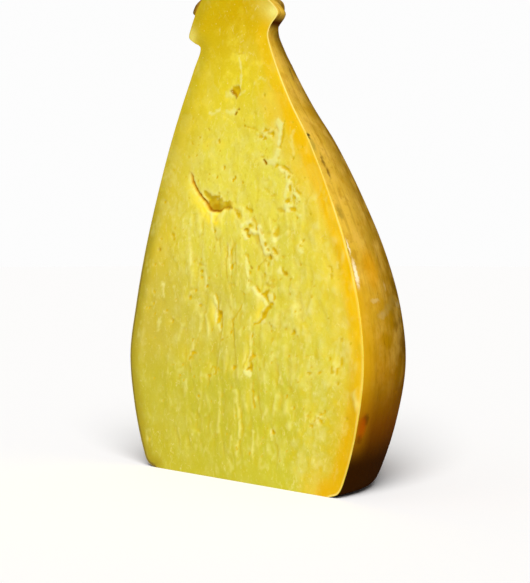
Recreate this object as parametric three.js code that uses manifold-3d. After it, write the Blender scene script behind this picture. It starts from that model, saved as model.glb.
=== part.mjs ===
// Half a provola: a pear-shaped cheese of stretched curd, cut lengthwise from its knob to its foot.
// It is one solid. The curved side is the rind, and the flat side is the paste with its tears and eyes.
// Millimetres, +Z up. The cut face looks towards -Y, and the origin is under the middle of the part.

import * as THREE from 'three';
import { mergeVertices } from 'three/addons/utils/BufferGeometryUtils.js';
import Module from 'manifold-3d';

const { degToRad, inverseLerp, lerp, seededRandom, smoothstep } = THREE.MathUtils;
const wasm = await Module();
wasm.setup();

// Driving dimensions

// The cut face from the foot to the top: height, right edge and left edge, from the cheese's axis.
const OUTLINE = [
  [0, 84, -84], // rim of the flat spot that it stands on
  [3.5, 92.5, -92.5],
  [14, 98, -98], // rounded foot
  [43, 107, -107],
  [80, 112.9, -111.8], // belly
  [116, 109.9, -105],
  [154, 99.7, -94.8],
  [189, 85, -82.7],
  [225, 66.7, -68.4], // shoulder
  [251, 50.3, -56.3],
  [278, 36.4, -42.3],
  [293, 30.5, -35.2], // groove that the hanging cord left
  [297, 30.9, -41.6],
  [301, 33.2, -46.8],
  [307.5, 39.5, -44.9], // knob
  [313, 35.8, -42.2],
  [318, 29.8, -39.3],
  [325, 20.5, -33.6],
  [331, 10.5, -25.5],
  [334.7, 1, -16],
  [336, -7, -7], // top
];

// Behind the cut the knob is rounder than the cut's edges, which stand out as a flange and pass into it
// within a few degrees. Height, radius of the rind and x of that circle's middle.
const KNOB_BACK = [
  [278, 39.3, -3], // as wide as the cut is here
  [284, 36.2, -2.9],
  [291, 32.9, -2.6],
  [297, 30.4, -2.7],
  [302, 29.3, -2.7], // groove
  [306, 29.9, -2.8],
  [309, 31.2, -3],
  [312, 33.1, -3.3],
  [316, 34.4, -4.2], // knob
  [319.5, 34.5, -5.2],
  [322, 32.6, -5.9],
  [326, 28.2, -6.8],
  [330, 21.3, -7],
  [333.5, 13, -7],
  [336, 0, -7],
];
const FLANGE_END = [9, 33]; // degrees round from either edge of the cut

// A blunt fold of rind stands out behind the knob's left edge. Angles are degrees round from the right edge.
const FOLD_ANGLE = 172;
const FOLD_HALF_ANGLE = 6.5;
const FOLD_Z = 321.5;
const FOLD_HALF_HEIGHT = 5.5;
const FOLD_STANDS_OUT = 11;

// The knob's rind is gathered into soft folds above the cord groove.
const GATHER_Z = 290;
const GATHER_RISE = 14;
const GATHER_COUNT = 7;
const GATHER_SHARE = 0.045; // of the half width

// Flake scars: paste has broken away between a lip, with a steep wall, and a brow, where the floor rises.
// Places are [x, z] on the cut face. Depths go in from it, and a brow with no depth fades out.
const SCARS = [
  { name: 'crescent tear', depth: 4, browDepth: 1.2,
    lip: [
      [-48, 209.5], [-45, 204], [-40.5, 197], [-34, 189.5], [-28, 184], [-20.5, 180.6], [-11, 182], [-2, 183],
    ],
    brow: [[-44.5, 207], [-39, 201], [-32.5, 197], [-24, 193.5], [-13, 190], [-2, 188.5]] },
  { name: 'neck hole', depth: 3.2, browDepth: 1.2,
    lip: [[-4.6, 262], [-2.4, 259], [0.6, 256.8]],
    brow: [[-3, 263.8], [2.6, 263.3], [3.2, 259]] },
  { name: 'zigzag tear', depth: 3.6, browDepth: 0,
    lip: [[18.5, 130.5], [23, 128], [27, 124.5], [31.5, 120.5], [29.5, 116], [25, 111.5], [18, 105.5]],
    brow: [[22, 131.2], [30, 128.5], [35.5, 123], [35, 118], [30, 112.5], [24, 107]] },
  { name: 'notch', depth: 3.6, browDepth: 1.2,
    lip: [[8.5, 75.5], [12, 76], [15.5, 75.5]],
    brow: [[9, 79.5], [13, 79.8], [16, 78]] },
  { name: 'left slit', depth: 3, browDepth: 0,
    lip: [[-20.5, 124], [-18.3, 119], [-17.8, 112], [-19.5, 106.5]],
    brow: [[-17.5, 124], [-15.2, 117], [-14.8, 110], [-16.5, 105.5]] },
  { name: 'upper furrow', depth: 2.6, browDepth: 0,
    lip: [[-0.5, 182.2], [3, 177.5], [8, 173]],
    brow: [[2.5, 183.2], [7, 180], [11.5, 175]] },
  { name: 'middle furrow', depth: 3.2, browDepth: 0,
    lip: [[8.5, 170], [11, 166], [13.5, 162]],
    brow: [[12, 170.5], [17.5, 165.5], [21, 160]] },
  { name: 'long furrow', depth: 2.8, browDepth: 0,
    lip: [[21.5, 171], [26, 164], [29, 157], [33.5, 148.5]],
    brow: [[26, 171.5], [31, 164], [35, 157], [38, 149.5]] },
  { name: 'upper ledge', depth: 1.4, browDepth: 0,
    lip: [[44.5, 237], [45, 231], [43, 225], [41, 217], [39, 210.8]],
    brow: [[52, 236], [54.5, 228], [52.5, 220], [49, 213.5]] },
  { name: 'right ledge', depth: 1.5, browDepth: 0,
    lip: [[39, 209.5], [46, 207.5], [49, 203], [53, 197], [58, 190]],
    brow: [[48, 211.5], [54, 208], [59, 201], [64, 192.5]] },
  { name: 'upper crumble', depth: 2.2, browDepth: 0.8,
    lip: [[21, 229.5], [26, 227.3], [33, 227.3], [38.5, 228.3]],
    brow: [[22, 233.6], [29, 235], [37, 232.6]] },
  { name: 'right crumble', depth: 2.6, browDepth: 0.8,
    lip: [[45, 184], [50, 186], [55.5, 186.6]],
    brow: [[46, 189], [51, 191.6], [56, 190.6]] },
  { name: 'hook', depth: 1.6, browDepth: 0,
    lip: [[-23, 178.5], [-24, 172], [-20, 166.8]],
    brow: [[-19.5, 178], [-20, 173], [-17.3, 168.4]] },
  { name: 'lower slit', depth: 2.2, browDepth: 0,
    lip: [[13, 108], [14.5, 100], [14.5, 92], [13, 83.5]],
    brow: [[15.6, 108], [17.6, 100], [17.6, 91], [16.6, 83]] },
  { name: 'foot slit', depth: 2, browDepth: 0,
    lip: [[15, 67], [16.5, 59], [17, 51]],
    brow: [[17.2, 67], [19.2, 59], [19.4, 51]] },
];

// Flutes: long shallow grooves where the knife pulled along the stretched curd.
const FLUTE_COUNT = 16;
const FLUTE_X = [-48, 78];
const FLUTE_Z = [48, 150];
const FLUTE_HALF_LENGTH = [6, 16];
const FLUTE_WIDTH = [2.2, 3.6];
const FLUTE_DEPTH = 0.9;
const FLUTE_SWAY = 1.5; // how far its middle stands aside

// Eyes: small slit-like holes. The main ones are placed as [x, z, half height], small ones are drawn.
const MAIN_EYES = [
  [0, 247.5, 2.4], [-26, 237, 1.8], [-16, 229, 1.8], [27, 212, 2.6], [-12, 210, 2.6], [-2, 203, 2.4],
  [68, 177.5, 1.8], [59, 157.5, 2.2], [-79, 155.5, 2.6], [22.5, 143.5, 2], [13, 143, 3], [-4, 144, 2.6],
  [86, 142, 2.4], [45, 140.5, 2.6], [-35, 141, 1.8], [-26, 136, 1.8], [50, 127, 1.6], [-40, 127.5, 1.8],
  [-46, 122, 2], [-65, 106, 2.6], [54, 102, 2.2], [-12, 93, 2.4], [88, 89, 2.4], [93, 82, 3.2],
  [-44, 84, 2.4], [-54, 76, 1.8], [-2, 76, 1.8], [-23, 72, 3], [99, 50, 1.8], [76, 49, 2.4],
  [70, 42, 1.8], [35, 36.5, 2.6],
];
const SMALL_EYE_COUNT = 30;
const SMALL_EYE_Z = [30, 235];
const SMALL_EYE_SPREAD = 0.86; // of the cut face's width
const SMALL_EYE_HALF_HEIGHT = [1.1, 2.1];
const EYE_WIDTH_SHARE = [0.45, 0.75]; // of the height
const EYE_DEPTH_SHARE = 1.1; // of the half height
const EYE_LEAN = 0.35; // the most that one leans from upright, radians
const CLEARANCE = 5; // between the middles or outlines of marks that are drawn
const DRAW_SEED = 7;

// Faceting
const OUTLINE_ROWS = 76;
const RIND_COLUMNS = 26;
const STEPS_PER_PLACE = 2;
const MOUTH_Y = -1; // cutters start this far in front of the cut face
const FADE_Y = -0.04; // a floor that fades out leaves the cut face here

// Every random draw comes from one seeded row of numbers.
seededRandom(DRAW_SEED);
const drawBetween = ([low, high]) => lerp(low, high, seededRandom());

// The outline as one curve whose coordinates are the right edge, the left edge and the height.
const stations = OUTLINE.map(([z, right, left]) => new THREE.Vector3(right, left, z));
const rows = new THREE.CatmullRomCurve3(stations)
  .getSpacedPoints(OUTLINE_ROWS)
  .map((p) => ({ right: p.x, left: p.y, z: p.z }));

// The circle that the rind follows behind the cut: above the shoulder it is the knob's own.
function backCircle(circle, z) {
  const next = KNOB_BACK.findIndex(([stationZ]) => stationZ > z);
  if (next < 1) return circle;
  const [[lowZ, ...low], [highZ, ...high]] = [KNOB_BACK[next - 1], KNOB_BACK[next]];
  const [radius, middle] = low.map((value, i) => lerp(value, high[i], inverseLerp(lowZ, highZ, z)));
  return { radius, middle };
}

// A point of the rind at an angle round from the cut's right edge, where circle joins the cut's two edges.
function rindPoint(angle, circle, z) {
  const [start, end] = FLANGE_END.map((degrees) => Math.sin(degToRad(degrees)));
  const behind = smoothstep(Math.sin(angle), start, end);
  const back = backCircle(circle, z);
  const middle = lerp(circle.middle, back.middle, behind);
  const onKnob = smoothstep(z, GATHER_Z, GATHER_Z + GATHER_RISE);
  const gather = GATHER_SHARE * onKnob * Math.sin(angle) * Math.cos(GATHER_COUNT * angle);
  const asideOfFold = (angle - degToRad(FOLD_ANGLE)) / degToRad(FOLD_HALF_ANGLE);
  const aboveFold = (z - FOLD_Z) / FOLD_HALF_HEIGHT;
  const fold = FOLD_STANDS_OUT * Math.exp(-(asideOfFold ** 2) - aboveFold ** 4);
  const radius = lerp(circle.radius, back.radius, behind) * (1 + gather) + fold;
  return [middle + radius * Math.cos(angle), radius * Math.sin(angle), z];
}

// The uncut half pear: the rind from the right edge round to the left one, the cut face and the flat spot.
function halfPear() {
  const points = [];
  const triangles = [];
  const ringSize = RIND_COLUMNS + 1;
  const at = (row, column) => row * ringSize + column;
  const rings = rows.slice(0, -1);
  for (const { right, left, z } of rings) {
    const circle = { radius: (right - left) / 2, middle: (right + left) / 2 };
    points.push(right, 0, z);
    for (let column = 1; column < RIND_COLUMNS; column++) {
      points.push(...rindPoint((Math.PI * column) / RIND_COLUMNS, circle, z));
    }
    points.push(left, 0, z);
  }
  for (let row = 0; row < rings.length - 1; row++) {
    for (let column = 0; column < RIND_COLUMNS; column++) {
      triangles.push(at(row, column), at(row, column + 1), at(row + 1, column + 1));
      triangles.push(at(row, column), at(row + 1, column + 1), at(row + 1, column));
    }
    triangles.push(at(row, RIND_COLUMNS), at(row, 0), at(row + 1, 0));
    triangles.push(at(row, RIND_COLUMNS), at(row + 1, 0), at(row + 1, RIND_COLUMNS));
  }

  const top = points.length / 3;
  const foot = top + 1;
  const last = rings.length - 1;
  points.push(rows.at(-1).right, 0, rows.at(-1).z);
  points.push(0, rings[0].right / 2, 0);
  for (let column = 0; column < RIND_COLUMNS; column++) {
    triangles.push(at(last, column), at(last, column + 1), top);
    triangles.push(foot, at(0, column + 1), at(0, column));
  }
  triangles.push(at(last, RIND_COLUMNS), at(last, 0), top);
  triangles.push(foot, at(0, 0), at(0, RIND_COLUMNS));
  return new THREE.BufferGeometry()
    .setAttribute('position', new THREE.Float32BufferAttribute(points, 3))
    .setIndex(triangles);
}

// Points along a smooth line through [x, z] places on the cut face.
function line(places) {
  const curve = new THREE.CatmullRomCurve3(places.map(([x, z]) => new THREE.Vector3(x, 0, z)));
  return curve.getSpacedPoints(STEPS_PER_PLACE * (places.length - 1));
}

// A scar's rim, along the lip and back along the brow, with the depth of the floor at each point.
function scarRim({ lip, brow, depth, browDepth }) {
  const lipLine = line(lip);
  const shareAlong = (i) => Math.sin((Math.PI * (i + 0.5)) / lipLine.length);
  return [
    ...lipLine.map(({ x, z }, i) => ({ x, z, floor: depth * Math.sqrt(shareAlong(i)) })),
    ...line(brow).reverse().map(({ x, z }) => ({ x, z, floor: browDepth || FADE_Y })),
  ];
}

// The cutter of a flake scar: a prism over its rim whose floor rises from the lip to the brow.
function scarCutter(scar) {
  const rim = scarRim(scar);
  const shape = new THREE.Shape(rim.map(({ x, z }) => new THREE.Vector2(x, z)));
  const cutter = new THREE.ExtrudeGeometry(shape, { depth: 1, bevelEnabled: false, curveSegments: 1 });
  const position = cutter.getAttribute('position');
  for (let i = 0; i < position.count; i++) {
    const x = position.getX(i);
    const z = position.getY(i);
    const distance = (p) => Math.hypot(p.x - x, p.z - z);
    const corner = rim.reduce((a, b) => (distance(b) < distance(a) ? b : a));
    position.setXYZ(i, x, position.getZ(i) > 0.5 ? MOUTH_Y : corner.floor, z);
  }
  return cutter;
}

// Whether a place is clear of every point of the marks so far.
const isClear = (x, z, marks) => marks.every((p) => Math.hypot(p.x - x, p.z - z) > CLEARANCE);

// Flutes as narrow upright scars, each clear of the marks so far.
function flutes(marks) {
  const found = [];
  while (found.length < FLUTE_COUNT) {
    const x = drawBetween(FLUTE_X);
    const z = drawBetween(FLUTE_Z);
    const half = drawBetween(FLUTE_HALF_LENGTH);
    const width = drawBetween(FLUTE_WIDTH);
    const sway = drawBetween([-FLUTE_SWAY, FLUTE_SWAY]);
    const flute = {
      depth: FLUTE_DEPTH,
      browDepth: 0,
      lip: [[x, z + half], [x + sway, z], [x, z - half]],
      brow: [[x + width / 2, z + half], [x + sway + width, z], [x + width / 2, z - half]],
    };
    const rim = scarRim(flute);
    if (rim.every((p) => isClear(p.x, p.z, marks))) {
      found.push(flute);
      marks.push(...rim);
    }
  }
  return found;
}

// Half the width of the cut face at a height, on its narrower side.
function halfWidthAt(z) {
  const row = rows.find((candidate) => candidate.z >= z);
  return Math.min(row.right, -row.left);
}

// Small eyes, each clear of the marks so far.
function smallEyes(marks) {
  const found = [];
  while (found.length < SMALL_EYE_COUNT) {
    const z = drawBetween(SMALL_EYE_Z);
    const x = SMALL_EYE_SPREAD * halfWidthAt(z) * drawBetween([-1, 1]);
    if (isClear(x, z, marks)) {
      found.push([x, z, drawBetween(SMALL_EYE_HALF_HEIGHT)]);
      marks.push({ x, z });
    }
  }
  return found;
}

function eyeCutter([x, z, halfHeight]) {
  const halfWidth = halfHeight * drawBetween(EYE_WIDTH_SHARE);
  return new THREE.IcosahedronGeometry(1, 1)
    .scale(halfWidth, halfHeight * EYE_DEPTH_SHARE, halfHeight)
    .rotateY(drawBetween([-EYE_LEAN, EYE_LEAN]))
    .translate(x, 0, z);
}

// Cutting
function solidOf(geometry) {
  geometry.deleteAttribute('normal');
  geometry.deleteAttribute('uv');
  const merged = mergeVertices(geometry);
  return new wasm.Manifold(new wasm.Mesh({
    numProp: 3,
    vertProperties: new Float32Array(merged.getAttribute('position').array),
    triVerts: new Uint32Array(merged.index.array),
  }));
}

function geometryOf(solid) {
  const { vertProperties, triVerts } = solid.getMesh();
  const geometry = new THREE.BufferGeometry()
    .setAttribute('position', new THREE.BufferAttribute(vertProperties, 3))
    .setIndex(new THREE.BufferAttribute(triVerts, 1));
  geometry.computeVertexNormals();
  return geometry;
}

const marks = [...SCARS.flatMap(scarRim), ...MAIN_EYES.map(([x, z]) => ({ x, z }))];
const scars = [...SCARS, ...flutes(marks)];
const eyes = [...MAIN_EYES, ...smallEyes(marks)];
const cutters = [...scars.map(scarCutter), ...eyes.map(eyeCutter)];
const cheese = cutters.reduce((solid, cutter) => solid.subtract(solidOf(cutter)), solidOf(halfPear()));

// The part
const paste = new THREE.MeshStandardMaterial({ color: 0xe6d45a, roughness: 0.55, metalness: 0 });
const provola = new THREE.Mesh(geometryOf(cheese), paste);
provola.name = 'provola';

const part = new THREE.Group();
part.add(provola);
const box = new THREE.Box3().setFromObject(provola);
part.position.set(-(box.min.x + box.max.x) / 2, -(box.min.y + box.max.y) / 2, -box.min.z);

export default part;
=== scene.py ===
import math

import bpy
import numpy as np
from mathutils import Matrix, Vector


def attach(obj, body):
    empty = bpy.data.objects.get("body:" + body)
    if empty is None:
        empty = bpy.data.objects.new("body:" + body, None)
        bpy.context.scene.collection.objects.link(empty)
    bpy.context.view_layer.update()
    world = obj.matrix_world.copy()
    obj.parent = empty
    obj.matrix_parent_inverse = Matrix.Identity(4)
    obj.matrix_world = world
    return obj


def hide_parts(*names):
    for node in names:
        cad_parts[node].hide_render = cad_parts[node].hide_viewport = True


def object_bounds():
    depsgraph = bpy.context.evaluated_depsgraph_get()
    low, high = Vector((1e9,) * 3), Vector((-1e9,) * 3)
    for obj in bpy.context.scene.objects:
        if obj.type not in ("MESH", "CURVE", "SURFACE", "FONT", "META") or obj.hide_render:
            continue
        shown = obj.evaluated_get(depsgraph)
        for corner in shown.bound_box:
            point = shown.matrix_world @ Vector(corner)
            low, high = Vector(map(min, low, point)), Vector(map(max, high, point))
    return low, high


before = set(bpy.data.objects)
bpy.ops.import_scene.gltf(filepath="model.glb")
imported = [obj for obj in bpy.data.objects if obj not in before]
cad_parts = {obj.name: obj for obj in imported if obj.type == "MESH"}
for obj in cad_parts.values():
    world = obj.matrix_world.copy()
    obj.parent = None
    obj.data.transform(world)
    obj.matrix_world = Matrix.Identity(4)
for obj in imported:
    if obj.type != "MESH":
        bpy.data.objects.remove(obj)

cad_low, cad_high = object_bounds()

# The half pear
# A cheese of stretched curd, pulled by hand into a pear with a knob, and hung by a cord under the knob.
# It was cut in half lengthwise: the flat front is paste, and the round back is the rind that dried on it.
MM = 0.001
OUTLINE = [  # height, right edge and left edge of the cut, in mm from the cheese's axis
    (0, 84, -84),
    (3.5, 92.5, -92.5),
    (14, 98, -98),
    (43, 107, -107),
    (80, 112.9, -111.8),
    (116, 109.9, -105),
    (154, 99.7, -94.8),
    (189, 85, -82.7),
    (225, 66.7, -68.4),
    (251, 50.3, -56.3),
    (278, 36.4, -42.3),
    (293, 30.5, -35.2),
    (297, 30.9, -41.6),
    (301, 33.2, -46.8),
    (307.5, 39.5, -44.9),
    (313, 35.8, -42.2),
    (318, 29.8, -39.3),
    (325, 20.5, -33.6),
    (331, 10.5, -25.5),
    (334.7, 1, -16),
    (336, -7, -7),
]
TOP = OUTLINE[-1][0]
ROWS = 430
CUT_COLUMNS = 188
RIND_COLUMNS = 42
TORN_FROM, TORN_TO = 30, 240  # heights between which the cut is most torn, so its rows are closer
TORN_FINER = 1.6


def smooth_line(places, steps):
    """A centripetal curve through the places, with that many steps between each two of them."""
    p = np.array(places, float)
    p = np.vstack([2 * p[0] - p[1], p, 2 * p[-1] - p[-2]])
    t = np.linspace(0, 1, steps, endpoint=False)[:, None]
    spans = []
    for a, b, c, d in zip(p[:-3], p[1:-2], p[2:-1], p[3:]):
        ab, bc, cd = (math.sqrt(np.linalg.norm(v)) for v in (b - a, c - b, d - c))
        leave = bc * ((b - a) / ab - (c - a) / (ab + bc) + (c - b) / bc)
        arrive = bc * ((c - b) / bc - (d - b) / (bc + cd) + (d - c) / cd)
        bend = 3 * (c - b) - 2 * leave - arrive
        twist = 2 * (b - c) + leave + arrive
        spans.append(b + leave * t + bend * t**2 + twist * t**3)
    return np.vstack([*spans, p[-2:-1]])


def evenly(line, count, fine=1.0):
    """The line again, as that many equal steps, or shorter ones where fine is above 1."""
    steps = np.linalg.norm(np.diff(line, axis=0), axis=1)
    length = np.concatenate([[0], np.cumsum(steps * fine)])
    at = np.linspace(0, length[-1], count + 1)
    return np.stack([np.interp(at, length, column) for column in line.T], 1)


profile = smooth_line(OUTLINE, 30)
torn_part = (profile[1:, 0] > TORN_FROM) & (profile[1:, 0] < TORN_TO)
row_z, row_right, row_left = evenly(profile, ROWS, np.where(torn_part, TORN_FINER, 1)).T

# The cut face
# Paste that a knife opened: it tore along the stretched curd, lost flakes and shows slit-like eyes.
# Its relief is drawn on maps in millimetres, x across and z up, and sunk is the depth in from the cut.
STEP = 0.5
MAP_X = np.arange(-118, 118.1, STEP)
MAP_Z = np.arange(-3, 340.1, STEP)
X, Z = np.meshgrid(MAP_X, MAP_Z)


def soften(field, size_x, size_z, spacing=(STEP, STEP)):
    """The field blurred by a bell of those sizes, in mm."""
    waves_x = np.fft.rfftfreq(field.shape[1], spacing[0])[None, :] * size_x
    waves_z = np.fft.fftfreq(field.shape[0], spacing[1])[:, None] * size_z
    bell = np.exp(-2 * math.pi**2 * (waves_x**2 + waves_z**2))
    return np.fft.irfft2(np.fft.rfft2(field) * bell, s=field.shape)


def lumps(size_x, size_z, seed, shape=X.shape, spacing=(STEP, STEP)):
    """Even random lumps of about those sizes, with a spread of 1."""
    field = soften(np.random.default_rng(seed).standard_normal(shape), size_x / 3, size_z / 3, spacing)
    return field / field.std()


def rise(value, low, high):
    """0 below low, 1 above high and a smooth step between them. With low above high it falls."""
    t = np.clip((value - low) / (high - low), 0, 1)
    return t * t * (3 - 2 * t)


# Torn edges wander, so every mark is drawn on a map that is pulled about by a fraction of a millimetre.
WANDER_MM = 0.25
TORN_X = X + WANDER_MM * (lumps(6, 6, 21) + lumps(2.2, 2.2, 22))
TORN_Z = Z + WANDER_MM * (lumps(6, 6, 23) + lumps(2.2, 2.2, 24))


def cells(size_x, size_z, seed):
    """Broken curd as cells: mm from the border, its cell's level, and mm aside of its middle."""
    draw = np.random.default_rng(seed)
    u, w = (TORN_X - MAP_X[0]) / size_x + 3, (TORN_Z - MAP_Z[0]) / size_z + 3
    column, row = u.astype(int), w.astype(int)
    place_u, place_w, level = draw.random((3, row.max() + 2, column.max() + 2))
    first, second = np.full((2, *X.shape), 9.0)
    found, aside = np.zeros((2, *X.shape))
    for dr in (-1, 0, 1):
        for dc in (-1, 0, 1):
            r, c = row + dr, column + dc
            off = u - c - place_u[r, c]
            away = np.hypot(off, w - r - place_w[r, c])
            nearer = away < first
            second = np.where(nearer, first, np.minimum(second, away))
            found = np.where(nearer, level[r, c], found)
            aside = np.where(nearer, off, aside)
            first = np.minimum(first, away)
    return (second - first) * size_x / 2, found, aside * size_x


def window(places, margin):
    """The part of the map around some places."""
    p = np.array(places, float)
    low, high = p.min(0) - margin, p.max(0) + margin
    columns = slice(*np.searchsorted(MAP_X, (low[0], high[0])))
    rows = slice(*np.searchsorted(MAP_Z, (low[1], high[1])))
    return rows, columns


def nearest(line, x, z):
    """Distance to a line in mm, and how far along it the nearest point is, from 0 to 1."""
    best, along = np.full(x.shape, 1e9), np.zeros(x.shape)
    for i, (a, b) in enumerate(zip(line[:-1], line[1:])):
        step = b - a
        t = np.clip(((x - a[0]) * step[0] + (z - a[1]) * step[1]) / (step @ step), 0, 1)
        away = np.hypot(x - a[0] - t * step[0], z - a[1] - t * step[1])
        along = np.where(away < best, (i + t) / (len(line) - 1), along)
        best = np.minimum(best, away)
    return best, along


def enclosed(rim, x, z):
    """Whether each place lies inside a rim."""
    odd = np.zeros(x.shape, bool)
    for a, b in zip(rim, np.roll(rim, -1, axis=0)):
        spans = (a[1] > z) != (b[1] > z)
        odd ^= spans & (x < a[0] + (z - a[1]) * (b[0] - a[0]) / (b[1] - a[1] + 1e-12))
    return odd


stringy = rise(Z, 235, 165)
# Shares of colour over the cut: pale paste and painted highlights, painted gold, orange and olive shade,
# painted dark brown shade, and painted glow
bright, honey, ember, olive, crevice, glow = np.zeros((6, *X.shape))
RELIEF = [  # height in mm, size across and up, seed, and share in the waxy paste above the stringy part
    (0.16, 22, 60, 31, 1),
    (0.06, 6, 9, 32, 0.2),
    (0.02, 3.2, 5, 33, 0),
    (0.01, 2, 2.2, 34, 1),
]
sunk = np.zeros(X.shape)
for height_mm, size_x, size_z, seed, waxy_share in RELIEF:
    sunk += height_mm * (waxy_share + (1 - waxy_share) * stringy) * lumps(size_x, size_z, seed)

# Waves and plates
# On the right the knife dragged the softer paste into low bumps. Elsewhere the curd parts into upright
# flakes, each a little tilted, with short tears between some of them.
WAVE_MM = 0.28
sunk += WAVE_MM * rise(X, 20, 45) * rise(Z, 30, 60) * rise(Z, 185, 160) * lumps(7.5, 11, 37)
plated = rise(Z, 215, 170) * rise(X, -100, -45) * rise(X, 92, 60) * rise(Z, 5, 25)
pulled = rise(Z, 190, 165) * rise(X, -75, -30) * rise(X, 65, 30) * rise(Z, 25, 60)
sunk += plated * (0.1 * lumps(4.5, 16, 35) + 0.02 * lumps(3, 6, 36))
TEAR_HALF_WIDTH = 0.35
PLATES = [  # size across and up, seed, step between plates, depth of tears and how rare they are
    (13, 38, 61, 0.7, 0.6, 0.6),
    (6, 15, 63, 0.4, 0.4, 0.9),
]
for size_x, size_z, seed, step_mm, tear_mm, rarity in PLATES:
    border, level, aside = cells(size_x, size_z, seed)
    plate = step_mm * (level - 0.5) * (1 + 2 * aside / size_x)
    sunk += plated * soften(plate, 0.4, 0.4)
    some = rise(lumps(8, 20, seed + 1), rarity, rarity + 0.8)
    torn = np.exp(-((border / TEAR_HALF_WIDTH) ** 2)) * some * pulled
    sunk += tear_mm * torn
    # painted gold shade in the tears
    honey += 0.3 * torn

# The crescent
# The largest tear. Its left lip rolls down to a crack. The thin lip has a painted glow, and painted orange
# and dark brown shade runs down into the crack. On the right of the crack a flake is gone, and its floor,
# in painted olive shade, rises to a ragged brow.
CRACK = [
    (-48, 210), (-45.5, 207.5), (-44.2, 205), (-43.3, 202.5), (-41, 199.8), (-39, 196.5), (-36.5, 193.5),
    (-34, 191.3), (-31.5, 189.3), (-29.2, 187.8), (-28.5, 185.7), (-26, 183.4), (-23, 182),
    (-19.5, 181.2), (-17, 181.3), (-14, 182.2), (-11, 182.9), (-6, 183.3), (-2.5, 183.3),
]
FLOOR_BROW = [
    (-31.5, 196), (-29, 195.7), (-27, 195), (-25, 193.8), (-23, 191.8), (-20, 192.8), (-17.5, 192.2),
    (-15.5, 190.5), (-13.5, 189.3), (-12.5, 187.5), (-10, 186.8), (-8, 187), (-6, 187.5), (-4, 188),
    (-2, 188.2), (-1.5, 186),
]
FLOOR_FOOT = [
    (-2, 183.3), (-6, 183.3), (-11, 182.9), (-14, 182.2), (-17, 181.3), (-19.5, 181), (-23, 182),
    (-26, 183.5), (-28, 185.5), (-27.5, 187.5), (-28, 189.5), (-30, 191.5), (-31.5, 194),
]
CRACK_DEPTH = 1.7
CRACK_DARKNESS = [  # share of the way along the crack, and how dark it is there
    (0, 0),
    (0.1, 0.45),
    (0.3, 0.6),
    (0.55, 0.65),
    (0.64, 0.85),
    (0.7, 1),
    (0.76, 0.85),
    (0.86, 0.4),
    (1, 0.5),
]
LIP_GLOW = [(0, 0), (0.2, 0.25), (0.4, 0.8), (0.75, 1), (0.85, 0)]  # the same, for how thin the lip is
ragged, nibbled = lumps(4, 4, 38), lumps(2, 2, 40)
part = window(CRACK, 16)
x, z = TORN_X[part], TORN_Z[part]
crack_line = smooth_line(CRACK, 6)
away, along = nearest(crack_line, x, z)
right_of_crack = enclosed(np.vstack([crack_line, [(-2, 202), (-30, 216), (-48, 216)]]), x, z)
inward = np.where(right_of_crack, away, -away)
on_lip = inward < 0
gone = enclosed(np.array(FLOOR_BROW + FLOOR_FOOT), x, z) & (inward > -0.3)
from_brow = nearest(np.array(FLOOR_BROW), x, z)[0] + 0.3 * ragged[part] + 0.4 * nibbled[part] + 0.3
ends = rise(along, 0, 0.15) * rise(along, 1, 0.9)
floor_share = np.maximum(rise(inward, 1.2, 0.3), gone * rise(from_brow, 0, 4.5))
sunk[part] += CRACK_DEPTH * ends * np.where(on_lip, rise(inward, -2.4, 0.2), floor_share)
# painted orange shade on both sides of the crack
orange = np.where(on_lip, rise(inward, -2.2, -0.3), rise(inward, 1.4, 0.5))
ember[part] += ends * np.interp(along, [0.6, 0.76], [1, 0.15]) * orange
# painted dark brown shade along the foot of the crack, darker along some stretches of it
darkness = np.interp(along, *zip(*CRACK_DARKNESS))
crevice[part] += darkness * np.exp(-(((inward - 0.2) / (0.45 + 0.35 * darkness)) ** 2))
# painted brown shade where the floor runs in under the lip
wedge = np.exp(-(((x + 20 + 0.8 * (z - 184)) / 4) ** 2) - ((z - 184.5) / 2.5) ** 2)
crevice[part] += 0.45 * gone * wedge
crumb = np.exp(-(((x + 19.5) / 1.6) ** 4) - ((z - 189.4) / 0.9) ** 4)
# painted olive shade on the floor where the flake is gone, except on the crumb
olive[part] += gone * rise(from_brow, 0, 0.7) * (0.85 + 0.15 * ragged[part]) * (1 - crumb)
bright[part] += crumb
# painted glow and a painted highlight on the thin lip
thin = np.interp(along, *zip(*LIP_GLOW)) * on_lip
glow[part] += 1.2 * thin * np.exp(-(((inward + 4.5) / 4.5) ** 2))
bright[part] += 0.25 * thin * np.exp(-(((inward + 5 + 0.6 * ragged[part]) / 1.4) ** 2))
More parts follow.
